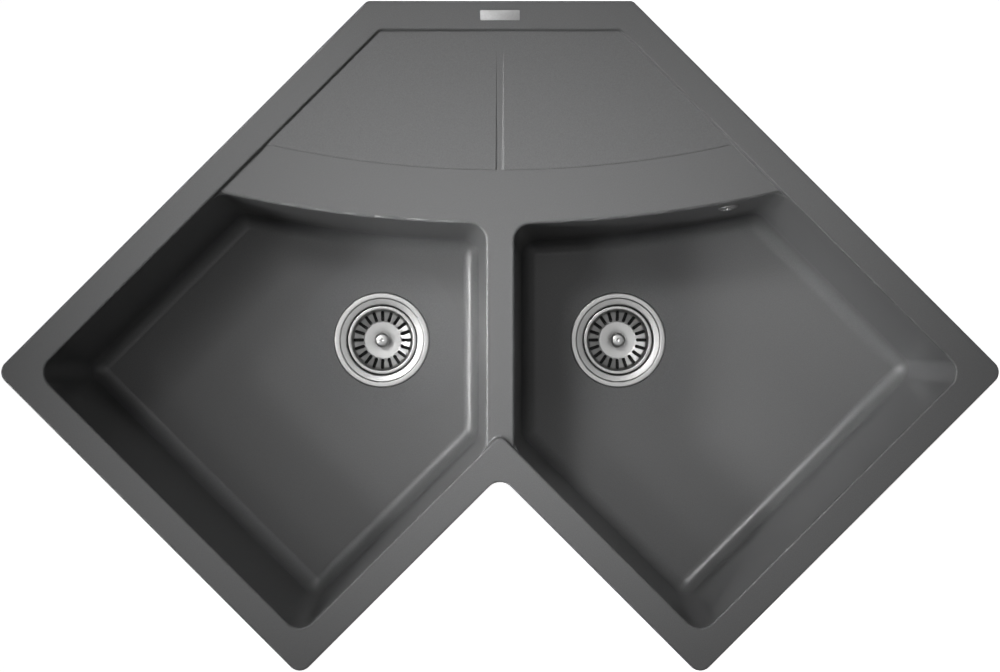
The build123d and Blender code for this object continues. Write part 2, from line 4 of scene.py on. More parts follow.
import bmesh
import bpy
from mathutils import Matrix, Vector


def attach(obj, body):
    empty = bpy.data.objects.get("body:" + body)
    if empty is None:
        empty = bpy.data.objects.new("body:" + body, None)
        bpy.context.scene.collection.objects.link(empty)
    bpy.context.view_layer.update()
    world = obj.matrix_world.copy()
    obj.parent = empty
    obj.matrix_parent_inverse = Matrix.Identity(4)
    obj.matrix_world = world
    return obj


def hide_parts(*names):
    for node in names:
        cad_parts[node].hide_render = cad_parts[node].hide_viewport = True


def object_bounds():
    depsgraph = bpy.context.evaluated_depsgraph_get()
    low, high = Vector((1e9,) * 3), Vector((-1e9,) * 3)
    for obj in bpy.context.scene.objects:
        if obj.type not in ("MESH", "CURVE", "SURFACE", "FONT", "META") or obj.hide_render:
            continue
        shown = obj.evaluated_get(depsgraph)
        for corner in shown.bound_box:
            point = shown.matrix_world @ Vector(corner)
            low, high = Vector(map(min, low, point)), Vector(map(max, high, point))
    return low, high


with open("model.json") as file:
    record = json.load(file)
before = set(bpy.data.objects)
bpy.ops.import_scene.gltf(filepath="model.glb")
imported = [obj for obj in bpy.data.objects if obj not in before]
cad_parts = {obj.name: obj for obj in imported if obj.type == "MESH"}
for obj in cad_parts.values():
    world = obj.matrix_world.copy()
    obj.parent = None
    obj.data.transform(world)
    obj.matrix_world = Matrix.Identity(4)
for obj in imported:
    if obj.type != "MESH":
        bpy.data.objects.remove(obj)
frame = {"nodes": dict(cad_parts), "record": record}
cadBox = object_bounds()
nodes = frame["nodes"]
scene = bpy.context.scene
print("frame loaded:", len(nodes), "nodes")


# Small helpers for objects and node trees

def addObject(name, data):
    made = bpy.data.objects.new(name, data)
    scene.collection.objects.link(made)
    return made


def addNode(tree, kind, place, **values):
    node = tree.nodes.new(kind)
    node.location = place
    for name, value in values.items():
        setattr(node, name, value)
    return node


def newMaterial(name):
    material = bpy.data.materials.new(name)
    material.use_nodes = True
    tree = material.node_tree
    tree.nodes.clear()
    out = addNode(tree, "ShaderNodeOutputMaterial", (700, 0))
    shader = addNode(tree, "ShaderNodeBsdfPrincipled", (400, 0))
    tree.links.new(shader.outputs["BSDF"], out.inputs["Surface"])
    coords = addNode(tree, "ShaderNodeTexCoord", (-900, 0))
    return material, tree, shader, coords.outputs["Object"]


def addSocket(tree, name, side, kind="NodeSocketFloat"):
    tree.interface.new_socket(name=name, in_out=side, socket_type=kind)


# Fine grains with a few larger ones, for the moulded quartz and the plastics. A chip fades
# from its core to its edge, as shares of the distance between chips.
grainShape = {
    "detail": 3.0,
    "softness": 0.7,
    "chipEdge": 0.16,
    "chipCore": 0.05,
}


def makeGrainGroup():
    group = bpy.data.node_groups.new("mouldedGrain", "ShaderNodeTree")
    addSocket(group, "Vector", "INPUT", "NodeSocketVector")
    for label in ("Grain Scale", "Chip Scale", "Chip Amount"):
        addSocket(group, label, "INPUT")
    for label in ("Shade", "Height"):
        addSocket(group, label, "OUTPUT")
    ins = addNode(group, "NodeGroupInput", (-800, 0))
    outs = addNode(group, "NodeGroupOutput", (600, 0))
    link = group.links.new
    fine = addNode(group, "ShaderNodeTexNoise", (-500, 200))
    fine.inputs["Detail"].default_value = grainShape["detail"]
    fine.inputs["Roughness"].default_value = grainShape["softness"]
    link(ins.outputs["Vector"], fine.inputs["Vector"])
    link(ins.outputs["Grain Scale"], fine.inputs["Scale"])
    chips = addNode(group, "ShaderNodeTexVoronoi", (-500, -100))
    link(ins.outputs["Vector"], chips.inputs["Vector"])
    link(ins.outputs["Chip Scale"], chips.inputs["Scale"])
    spot = addNode(group, "ShaderNodeMapRange", (-250, -100))
    spot.inputs["From Min"].default_value = grainShape["chipEdge"]
    spot.inputs["From Max"].default_value = grainShape["chipCore"]
    link(chips.outputs["Distance"], spot.inputs["Value"])
    weighed = addNode(group, "ShaderNodeMath", (-50, -100), operation="MULTIPLY")
    link(spot.outputs["Result"], weighed.inputs[0])
    link(ins.outputs["Chip Amount"], weighed.inputs[1])
    total = addNode(group, "ShaderNodeMath", (200, 100), operation="ADD")
    link(fine.outputs["Fac"], total.inputs[0])
    link(weighed.outputs[0], total.inputs[1])
    link(total.outputs[0], outs.inputs["Shade"])
    link(fine.outputs["Fac"], outs.inputs["Height"])
    return group


grainGroup = makeGrainGroup()


def addGrain(tree, coords, grainScale, chipScale, chipAmount):
    grain = addNode(tree, "ShaderNodeGroup", (-650, 0), node_tree=grainGroup)
    grain.inputs["Grain Scale"].default_value = grainScale
    grain.inputs["Chip Scale"].default_value = chipScale
    grain.inputs["Chip Amount"].default_value = chipAmount
    tree.links.new(coords, grain.inputs["Vector"])
    return grain


def addRamp(tree, source, place, *stops):
    ramp = addNode(tree, "ShaderNodeValToRGB", place)
    band = ramp.color_ramp
    while len(band.elements) < len(stops):
        band.elements.new(0.5)
    for element, (at, color) in zip(band.elements, stops):
        element.position = at
        element.color = (*color, 1.0)
    tree.links.new(source, ramp.inputs["Fac"])
    return ramp.outputs["Color"]


def addRange(tree, source, place, low, high, fromLow=0.0, fromHigh=1.0):
    span = addNode(tree, "ShaderNodeMapRange", place)
    span.inputs["From Min"].default_value = fromLow
    span.inputs["From Max"].default_value = fromHigh
    span.inputs["To Min"].default_value = low
    span.inputs["To Max"].default_value = high
    tree.links.new(source, span.inputs["Value"])
    return span.outputs["Result"]


def addBump(tree, shader, height, strength, distance):
    bump = addNode(tree, "ShaderNodeBump", (150, -300))
    bump.inputs["Strength"].default_value = strength
    bump.inputs["Distance"].default_value = distance
    tree.links.new(height, bump.inputs["Height"])
    tree.links.new(bump.outputs["Normal"], shader.inputs["Normal"])


# The basin's moulded quartz. Depths of all the finishes are in metres.
quartz = {
    "shades": ((0.118, 0.119, 0.120), (0.142, 0.143, 0.144), (0.185, 0.186, 0.187)),
    "stops": (0.30, 0.50, 0.85),
    "roughness": (0.27, 0.35),
    "specular": 0.5,
    "grainScale": 1100.0,
    "chipScale": 520.0,
    "chipAmount": 0.25,
    "bump": 0.25,
    "bumpDepth": 0.00005,
}


def makeQuartz():
    material, tree, shader, coords = newMaterial("quartzComposite")
    grain = addGrain(tree, coords, quartz["grainScale"], quartz["chipScale"],
                     quartz["chipAmount"])
    shade = grain.outputs["Shade"]
    tint = addRamp(tree, shade, (-350, 200), *zip(quartz["stops"], quartz["shades"]))
    rough = addRange(tree, shade, (-350, -50), *quartz["roughness"])
    tree.links.new(tint, shader.inputs["Base Color"])
    tree.links.new(rough, shader.inputs["Roughness"])
    shader.inputs["Specular IOR Level"].default_value = quartz["specular"]
    addBump(tree, shader, grain.outputs["Height"], quartz["bump"], quartz["bumpDepth"])
    return material


def shadesOf(color, factors):
    return [tuple(c * k for c in color) for k in factors]


# Plain metals. Their streaks run around each fitting, so the pattern is squeezed along Z.
streaks = {
    "squeeze": (1.0, 1.0, 6.0),
    "detail": 4.0,
    "shades": (0.9, 1.0),
    "stops": (0.3, 0.7),
    "bump": 0.15,
}


def makeMetal(name, color, roughness, streakScale, streakDepth):
    material, tree, shader, coords = newMaterial(name)
    stretch = addNode(tree, "ShaderNodeMapping", (-700, 0))
    stretch.inputs["Scale"].default_value = streaks["squeeze"]
    tree.links.new(coords, stretch.inputs["Vector"])
    noise = addNode(tree, "ShaderNodeTexNoise", (-500, 0))
    noise.inputs["Scale"].default_value = streakScale
    noise.inputs["Detail"].default_value = streaks["detail"]
    tree.links.new(stretch.outputs["Vector"], noise.inputs["Vector"])
    streak = noise.outputs["Fac"]
    stops = zip(streaks["stops"], shadesOf(color, streaks["shades"]))
    tint = addRamp(tree, streak, (-250, 200), *stops)
    rough = addRange(tree, streak, (-250, -50), *roughness)
    tree.links.new(tint, shader.inputs["Base Color"])
    tree.links.new(rough, shader.inputs["Roughness"])
    shader.inputs["Metallic"].default_value = 1.0
    addBump(tree, shader, streak, streaks["bump"], streakDepth)
    return material


# The wastes: polished where they show. Down in the cup the steel is rougher, and its colour
# is painted near black as shade. Finish and painted shade change between two heights, in metres.
wasteSteel = {
    "polished": (0.53, 0.53, 0.525),
    # near-black painted shade for the inside of the cup
    "paintedCupShade": (0.05, 0.05, 0.05),
    "polishedShades": (0.95, 1.0),
    "paintedCupShadeSpread": (0.8, 1.2),
    "stops": (0.3, 0.7),
    "polishedRoughness": (0.34, 0.38),
    "drawnRoughness": 0.55,
    "shadedRoughBelow": -0.2030,
    "litPolishedAbove": -0.1965,
    "streakScale": 90.0,
    "streakDetail": 3.0,
    "bump": 0.04,
    "bumpDepth": 0.000006,
}


def makeWasteSteel(name, shadedRoughCup):
    material, tree, shader, coords = newMaterial(name)
    link = tree.links.new
    noise = addNode(tree, "ShaderNodeTexNoise", (-650, 200))
    noise.inputs["Scale"].default_value = wasteSteel["streakScale"]
    noise.inputs["Detail"].default_value = wasteSteel["streakDetail"]
    link(coords, noise.inputs["Vector"])
    streak = noise.outputs["Fac"]
    polished = shadesOf(wasteSteel["polished"], wasteSteel["polishedShades"])
    shine = addRamp(tree, streak, (-400, 300), *zip(wasteSteel["stops"], polished))
    rough = addRange(tree, streak, (-400, 0), *wasteSteel["polishedRoughness"])
    if not shadedRoughCup:
        link(shine, shader.inputs["Base Color"])
        link(rough, shader.inputs["Roughness"])
    else:
        # Down in the cup the colour turns near black: painted shade, over a rougher finish
        paintedCupShade = shadesOf(wasteSteel["paintedCupShade"], wasteSteel["paintedCupShadeSpread"])
        paintedShadeTint = addRamp(tree, streak, (-400, 600), *zip(wasteSteel["stops"], paintedCupShade))
        split = addNode(tree, "ShaderNodeSeparateXYZ", (-650, -200))
        link(coords, split.inputs["Vector"])
        depth = addRange(tree, split.outputs["Z"], (-400, -250), 0.0, 1.0,
                         wasteSteel["shadedRoughBelow"], wasteSteel["litPolishedAbove"])
        tint = addNode(tree, "ShaderNodeMix", (0, 300), data_type="RGBA")
        link(depth, tint.inputs[0])
        link(paintedShadeTint, tint.inputs[6])
        link(shine, tint.inputs[7])
        link(tint.outputs[2], shader.inputs["Base Color"])
        finish = addNode(tree, "ShaderNodeMix", (0, 50), data_type="FLOAT")
        finish.inputs[2].default_value = wasteSteel["drawnRoughness"]
        link(depth, finish.inputs[0])
        link(rough, finish.inputs[3])
        link(finish.outputs[0], shader.inputs["Roughness"])
    shader.inputs["Metallic"].default_value = 1.0
    addBump(tree, shader, streak, wasteSteel["bump"], wasteSteel["bumpDepth"])
    return material


# Moulded plastics and rubbers, each in one colour
plastic = {
    "grainScale": 1600.0,
    "chipScale": 300.0,
    "chipAmount": 0.05,
    "shades": (0.92, 1.04),
    "stops": (0.35, 0.7),
    "specular": 0.4,
    "bump": 0.2,
    "bumpDepth": 0.00004,
}


def makePlastic(name, color, roughness):
    material, tree, shader, coords = newMaterial(name)
    grain = addGrain(tree, coords, plastic["grainScale"], plastic["chipScale"],
                     plastic["chipAmount"])
    shade = grain.outputs["Shade"]
    stops = zip(plastic["stops"], shadesOf(color, plastic["shades"]))
    tint = addRamp(tree, shade, (-350, 200), *stops)
    rough = addRange(tree, shade, (-350, -50), *roughness)
    tree.links.new(tint, shader.inputs["Base Color"])
    tree.links.new(rough, shader.inputs["Roughness"])
    shader.inputs["Specular IOR Level"].default_value = plastic["specular"]
    addBump(tree, shader, grain.outputs["Height"], plastic["bump"], plastic["bumpDepth"])
    return material


# One finish for each material slot: colour, range of roughness, and a metal's streak scale
# and depth
materials = {
    "composite": makeQuartz(),
    "steel": makeWasteSteel("polishedSteel", False),
    "steel_hidden": makeMetal("turnedSteel", (0.62, 0.62, 0.61), (0.28, 0.42), 320.0, 0.00002),
    "plate": makeMetal("satinPlate", (0.45, 0.45, 0.45), (0.44, 0.54), 400.0, 0.00001),
    "seal": makePlastic("sealRubber", (0.022, 0.022, 0.022), (0.6, 0.75)),
    "stopper": makePlastic("stopperRubber", (0.03, 0.03, 0.03), (0.45, 0.6)),
    "waste_plastic": makePlastic("wasteBodyPlastic", (0.62, 0.62, 0.60), (0.32, 0.45)),
    "hose": makePlastic("hosePlastic", (0.42, 0.43, 0.44), (0.38, 0.5)),
    "fastener": makeMetal("zincPlated", (0.55, 0.56, 0.58), (0.25, 0.4), 500.0, 0.00002),
    "clip": makeMetal("galvanisedClip", (0.5, 0.51, 0.53), (0.3, 0.5), 90.0, 0.00003),
    "brass": makeMetal("brassInsert", (0.72, 0.52, 0.25), (0.25, 0.4), 500.0, 0.00002),
}
# The flange's cup carries painted shade: near black below the collar, over rougher steel
shadedCupSteel = makeWasteSteel("shadedCupSteel", True)
slotOf = {part["node"]: part["material_slot"] for part in frame["record"]["subparts"]}
for name, node in nodes.items():
    node.data.materials.clear()
    node.data.materials.append(materials[slotOf[name]])
print("materials assigned")


# Helpers for shapes. Lengths in the pieces' dictionaries are millimetres. Meshes are in
# metres, and so are the two distances within which vertices become one.

sameVertex = 0.0000001
weldDistance = 0.000002


def around(radius, angle, height):
    x, y = radius * math.cos(angle), radius * math.sin(angle)
    return Vector((x / 1000, y / 1000, height / 1000))


# A line with each inner corner replaced by a curve that starts and ends on its two sides
def roundCorners(points, radii, steps=6):
    points = [Vector(point) for point in points]
    line = [points[0]]
    for before, here, after, radius in zip(points, points[1:], points[2:], radii):
        back, ahead = before - here, after - here
        longest = 0.49 * min(back.length, ahead.length)
        trim = min(radius / math.tan(back.angle(ahead) / 2), longest)
        start, end = here + back.normalized() * trim, here + ahead.normalized() * trim
        for i in range(steps + 1):
            t = i / steps
            line.append(start * (1 - t) ** 2 + here * (2 * t * (1 - t)) + end * t ** 2)
    return [*line, points[-1]]


# The same for a closed outline, cut open in the middle of its last side
def roundLoop(points, radii, steps=5):
    middle = (Vector(points[0]) + Vector(points[-1])) / 2
    return roundCorners([middle, *points, middle], radii, steps)[:-1]


def meshFrom(name, shape):
    bmesh.ops.remove_doubles(shape, verts=shape.verts, dist=sameVertex)
    bmesh.ops.recalc_face_normals(shape, faces=shape.faces)
    mesh = bpy.data.meshes.new(name)
    shape.to_mesh(mesh)
    shape.free()
    return mesh


# A profile turned around Z. A point on the axis becomes a single vertex.
def turnedMesh(name, profile, count, closed=True):
    shape = bmesh.new()
    rings = []
    for radius, height in profile:
        onAxis = radius <= 0.001
        angles = [0.0] if onAxis else [math.tau * i / count for i in range(count)]
        rings.append([shape.verts.new(around(radius, a, height)) for a in angles])
    pairs = list(zip(rings, rings[1:])) + ([(rings[-1], rings[0])] if closed else [])
    for low, high in pairs:
        for i in range(count):
            j = i + 1
            ring = [low[i % len(low)], low[j % len(low)], high[j % len(high)], high[i % len(high)]]
            ring = list(dict.fromkeys(ring))
            if len(ring) > 2:
                shape.faces.new(ring)
    return meshFrom(name, shape)


# A rounded rectangle as offsets (along the radius, across it), corner by corner
def roundedOutline(halfLength, halfWidth, radius, across, along):
    signs = [(-1, -1), (-1, 1), (1, 1), (1, -1)]
    outline = []
    for side in range(4):
        count = (across, along)[side % 2]
        first, second = signs[side], signs[(side + 1) % 4]
        ends = [Vector((u * (halfLength - radius), v * (halfWidth - radius)))
                for u, v in (first, second)]
        outward = math.pi - side * math.pi / 2
        bend = count // 2 if (ends[1] - ends[0]).length < 1e-6 else max(2, count // 4)
        flat = count - 2 * bend
        turns = [(ends[0], outward + math.pi / 4 * (1 - i / bend)) for i in range(bend)]
        turns += [(ends[0].lerp(ends[1], i / flat), outward) for i in range(flat)]
        turns += [(ends[1], outward - math.pi / 4 * i / bend) for i in range(bend)]
        outline += [at + radius * Vector((math.cos(a), math.sin(a))) for at, a in turns]
    return outline


# One sector of a pierced, turned sheet: rows of its profile, and a band with one hole.
# Around the hole, a ring of vertices stands between its edge and the sector's border. With
# spokeHalf, the hole's sides follow the radii and leave a spoke of that half width.
def piercedSector(name, profile, count, band, hole, across, along, spokeHalf=None):
    step = math.tau / count
    shape = bmesh.new()

    def at(radius, angle, height):
        return shape.verts.new(around(radius, angle, height))

    def heightOn(radius):
        for (r0, z0), (r1, z1) in zip(profile, profile[1:]):
            if r0 <= radius <= r1 and r1 > r0:
                return z0 + (z1 - z0) * (radius - r0) / (r1 - r0)
        return profile[-1][1]

    spread = [step * (i / across - 0.5) for i in range(across + 1)]
    inner, outer = [[at(band[k], a, heightOn(band[k])) for a in spread] for k in (0, 1)]
    sides = []
    for a in (step / 2, -step / 2):
        radii = [band[0] + (band[1] - band[0]) * i / along for i in range(1, along)]
        sides.append([at(r, a, heightOn(r)) for r in radii])
    border = [*inner, *sides[0], *reversed(outer), *reversed(sides[1])]
    middle = hole["middle"]
    outline = roundedOutline(hole["halfLength"], hole["halfWidth"], hole["round"], across, along)
    rings = [border]
    for grow in (0.45, 0.0):
        ring = []
        for i, (u, v) in enumerate(outline):
            if spokeHalf is None:
                radius, angle = math.hypot(middle + u, v), math.atan2(v, middle + u)
            else:
                radius = middle + u
                angle = v / hole["halfWidth"] * (step / 2 - math.asin(spokeHalf / radius))
            if grow:
                rim = border[i].co * 1000
                rimRadius, rimAngle = math.hypot(rim.x, rim.y), math.atan2(rim.y, rim.x)
                radius += (rimRadius - radius) * grow
                angle += (rimAngle - angle) * grow
            ring.append(at(radius, angle, heightOn(radius)))
        rings.append(ring)
    size = len(border)
    for wide, narrow in zip(rings, rings[1:]):
        for i in range(size):
            j = (i + 1) % size
            shape.faces.new((wide[i], wide[j], narrow[j], narrow[i]))
    apart = 0.05
    below = [point for point in profile if point[0] < band[0] - apart]
    above = [point for point in profile[len(below):] if point[0] > band[1] + apart]
    rows = [[at(r, a, z) for a in spread] for r, z in below] + [inner]
    more = [outer] + [[at(r, a, z) for a in spread] for r, z in above]
    for group in (rows, more):
        for low, high in zip(group, group[1:]):
            for i in range(across):
                shape.faces.new((low[i], low[i + 1], high[i + 1], high[i]))
    return meshFrom(name, shape)


# Copies a sector around the Z axis and welds the copies
def makeRepeatTree():
    tree = bpy.data.node_groups.new("repeatAround", "GeometryNodeTree")
    addSocket(tree, "Sector", "INPUT", "NodeSocketGeometry")
    addSocket(tree, "Count", "INPUT", "NodeSocketInt")
    addSocket(tree, "Material", "INPUT", "NodeSocketMaterial")
    addSocket(tree, "Shell", "OUTPUT", "NodeSocketGeometry")
    ins = addNode(tree, "NodeGroupInput", (-900, 0))
    outs = addNode(tree, "NodeGroupOutput", (700, 0))
    points = addNode(tree, "GeometryNodePoints", (-600, 200))
    index = addNode(tree, "GeometryNodeInputIndex", (-900, -250))
    step = addNode(tree, "ShaderNodeMath", (-700, -150), operation="DIVIDE")
    step.inputs[0].default_value = math.tau
    turn = addNode(tree, "ShaderNodeMath", (-500, -200), operation="MULTIPLY")
    axis = addNode(tree, "ShaderNodeCombineXYZ", (-300, -200))
    spin = addNode(tree, "FunctionNodeEulerToRotation", (-100, -200))
    copies = addNode(tree, "GeometryNodeInstanceOnPoints", (-100, 100))
    real = addNode(tree, "GeometryNodeRealizeInstances", (100, 100))
    weld = addNode(tree, "GeometryNodeMergeByDistance", (300, 100))
    weld.inputs["Distance"].default_value = weldDistance
    paint = addNode(tree, "GeometryNodeSetMaterial", (500, 100))
    link = tree.links.new
    link(ins.outputs["Count"], points.inputs["Count"])
    link(ins.outputs["Count"], step.inputs[1])
    link(index.outputs["Index"], turn.inputs[0])
    link(step.outputs[0], turn.inputs[1])
    link(turn.outputs[0], axis.inputs["Z"])
    link(axis.outputs["Vector"], spin.inputs["Euler"])
    link(points.outputs[0], copies.inputs["Points"])
    link(ins.outputs["Sector"], copies.inputs["Instance"])
    link(spin.outputs["Rotation"], copies.inputs["Rotation"])
    link(copies.outputs["Instances"], real.inputs["Geometry"])
    link(real.outputs["Geometry"], weld.inputs["Geometry"])
    link(weld.outputs["Geometry"], paint.inputs["Geometry"])
    link(ins.outputs["Material"], paint.inputs["Material"])
    link(paint.outputs["Geometry"], outs.inputs["Shell"])
    return tree


repeatTree = makeRepeatTree()


# Runs a Geometry Nodes tree on a mesh or curve, with its inputs set by name, and bakes it
def runTree(name, data, tree, values, steps=()):
    carrier = addObject(name, data)
    work = carrier.modifiers.new("shape", "NODES")
    work.node_group = tree
    for item in tree.interface.items_tree:
        if item.in_out == "INPUT" and item.name in values:
            work[item.identifier] = values[item.name]
    return bake(carrier, steps)


# The object's evaluated mesh, with these modifiers added, after which the object is removed
def bake(carrier, steps):
    for kind, settings in steps:
        step = carrier.modifiers.new(kind.lower(), kind)
        for field, value in settings.items():
            setattr(step, field, value)
    graph = bpy.context.evaluated_depsgraph_get()
    made = bpy.data.meshes.new_from_object(carrier.evaluated_get(graph))
    made.name = carrier.name
    bpy.data.objects.remove(carrier)
    return made


# A finished piece: it takes the slot's material, or finish, and rides on its body
def addPiece(name, mesh, body, slot, replaced=(), place=None, sharp=35.0, finish=None):
    if place is not None:
        mesh.transform(place)
    mesh.materials.clear()
    mesh.materials.append(finish or materials[slot])
    mesh.shade_smooth()
    mesh.set_sharp_from_angle(angle=math.radians(sharp))
    piece = addObject(name, mesh)
    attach(piece, body)
    if replaced:
        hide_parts(*replaced)


drainAt = (140.7, -364.5)
drains = {side: Matrix.Translation((sign * drainAt[0] / 1000, drainAt[1] / 1000, 0))
          for side, sign in (("left", -1), ("right", 1))}


# Basin: the moulding itself, with the walls of the drainer's groove laid back at its open end.
# A foot's two numbers are where the wall stands and where it goes. Only vertices below a
# height move, and the two near values say how closely they must match.

groove = {
    "front": -178.0,
    "leftFoot": (-3.85, -2.9),
    "rightFoot": (3.85, 1.5),
    "nearAcross": 0.02,
    "nearAlong": 0.1,
    "below": 4.0,
}


def makeBasin():
    mesh = nodes["sink_basin"].data.copy()
    mesh.name = "mouldedBasin"
    for point in mesh.vertices:
        x, y, z = (c * 1000 for c in point.co)
        for foot, inward in (groove["leftFoot"], groove["rightFoot"]):
            atFoot = abs(x - foot) < groove["nearAcross"]
            atFront = abs(y - groove["front"]) < groove["nearAlong"]
            if atFoot and atFront and z < groove["below"]:
                point.co.x = inward / 1000
    piece = addObject("mouldedBasin", mesh)
    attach(piece, "sink")
    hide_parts("sink_basin")


makeBasin()
print("basin made")


# Basket strainers

# A bevel on every edge that turns by more than the angle
def bevel(width, segments, degrees):
    return ("BEVEL", {"width": width / 1000, "segments": segments, "limit_method": "ANGLE",
                      "angle_limit": math.radians(degrees)})


# A full ring of pierced sectors, thickened about the middle of the sheet
def piercedSheet(name, settings):
    profile = [tuple(point) for point in roundCorners(settings["line"], settings["bends"])]
    sector = piercedSector(name + "Sector", profile, settings["holes"], settings["band"],
                           settings["hole"], *settings["mesh"], settings["spokeHalf"])
    inputs = {"Count": settings["holes"], "Material": materials["steel"]}
    thicken = ("SOLIDIFY", {"thickness": settings["sheet"] / 1000, "offset": 0.0})
    edges = bevel(settings["edge"], settings["edgeSteps"], settings["edgeAngle"])
    return runTree(name, sector, repeatTree, inputs, [thicken, edges])


# The two numbers of a mesh are a sector's divisions across and along the radius
basket = {
    "line": [(3.05, -210.45), (21.6, -210.45), (34.6, -204.7), (36.9, -195.05),
             (40.55, -195.05), (40.55, -197.0)],
    "bends": (2.0, 2.5, 1.2, 1.2),
    "holes": 20,
    "turn": 90.0,
    "band": (22.0, 35.6),
    "hole": {"middle": 28.8, "halfLength": 6.3, "halfWidth": 1.9, "round": 1.6},
    "spokeHalf": None,
    "mesh": (8, 12),
    "sheet": 0.9,
    "edge": 0.18,
    "edgeSteps": 2,
    "edgeAngle": 50.0,
}


def makeBasket(side):
    mesh = piercedSheet("basket" + side.title(), basket)
    mesh.transform(Matrix.Rotation(math.radians(basket["turn"]), 4, "Z"))
    body = "basket_" + side
    addPiece("basketShell_" + side, mesh, body, "steel", ("basket_" + side,), drains[side])


knob = {
    "points": [(0, -193.4), (1.8, -192.6), (6.2, -193.0), (8.6, -194.9), (8.4, -197.6),
               (6.9, -198.7), (3.6, -199.3), (3.6, -210.0), (3.0, -210.0), (3.0, -227.3),
               (2.4, -228.0), (0, -228.0)],
    "rounds": (0.6, 4.0, 1.4, 0.9, 0.8, 1.0, 0.1, 0.1, 0.4, 0.4),
    "facets": 96,
}
stopper = {
    "points": [(3.05, -210.9), (10.0, -210.9), (13.0, -212.7), (24.5, -213.5), (26.0, -214.7),
               (26.0, -216.1), (10.0, -216.1), (10.0, -213.8), (3.05, -213.8)],
    "rounds": (0.2, 0.8, 1.4, 1.2, 0.8, 0.3, 0.3, 0.3, 0.2),
    "facets": 96,
}


def makeKnob(side):
    profile = roundCorners(knob["points"], knob["rounds"])
    mesh = turnedMesh("knob", profile, knob["facets"], closed=False)
    addPiece("basketKnob_" + side, mesh, "basket_" + side, "steel", ("basket_knob_" + side,),
             drains[side])


def makeStopper(side):
    profile = roundLoop(stopper["points"], stopper["rounds"])
    mesh = turnedMesh("stopper", profile, stopper["facets"])
    addPiece("basketStopper_" + side, mesh, "basket_" + side, "stopper",
             ("basket_stopper_" + side,), drains[side])


flange = {
    "line": [(5.05, -217.0), (42.4, -217.0), (42.6, -192.1), (49.3, -191.3), (50.7, -190.0),
             (55.0, -190.0), (56.3, -190.7)],
    "bends": (3.0, 1.3, 0.9, 0.9, 0.9),
    "holes": 6,
    "band": (10.0, 21.6),
    "hole": {"middle": 15.75, "halfLength": 4.75, "halfWidth": 4.75, "round": 1.2},
    "spokeHalf": 2.0,
    "mesh": (24, 12),
    "sheet": 1.2,
    "edge": 0.3,
    "edgeSteps": 3,
    "edgeAngle": 50.0,
}


def makeFlange(side):
    mesh = piercedSheet("flange" + side.title(), flange)
    addPiece("strainerFlange_" + side, mesh, "sink", "steel", ("strainer_flange_" + side,),
             drains[side], finish=shadedCupSteel)


for side in drains:
    makeBasket(side)
    makeKnob(side)
    makeStopper(side)
    makeFlange(side)
print("strainers made")


# Overflow hose, ribbed between its two cuffs. Its ribs start over twice the cuff step, and
# the wave that makes them is cut off at the rib flats.

hose = {
    "top": (250.63, -192.69, -57.54),
    "level": -235.0,
    "endFromDrain": 58.4,
    "bend": 60.0,
    "bendSteps": 24,
    "pitch": 3.7,
    "trough": 10.1,
    "crest": 11.5,
    "cuffRadius": 11.6,
    "cuff": 20.0,
    "cuffStep": 0.3,
    "ribSteps": 8.0,
    "ribFlats": 0.8,
    "facets": 48,
    "wall": 0.9,
    "sharp": 60.0,
}


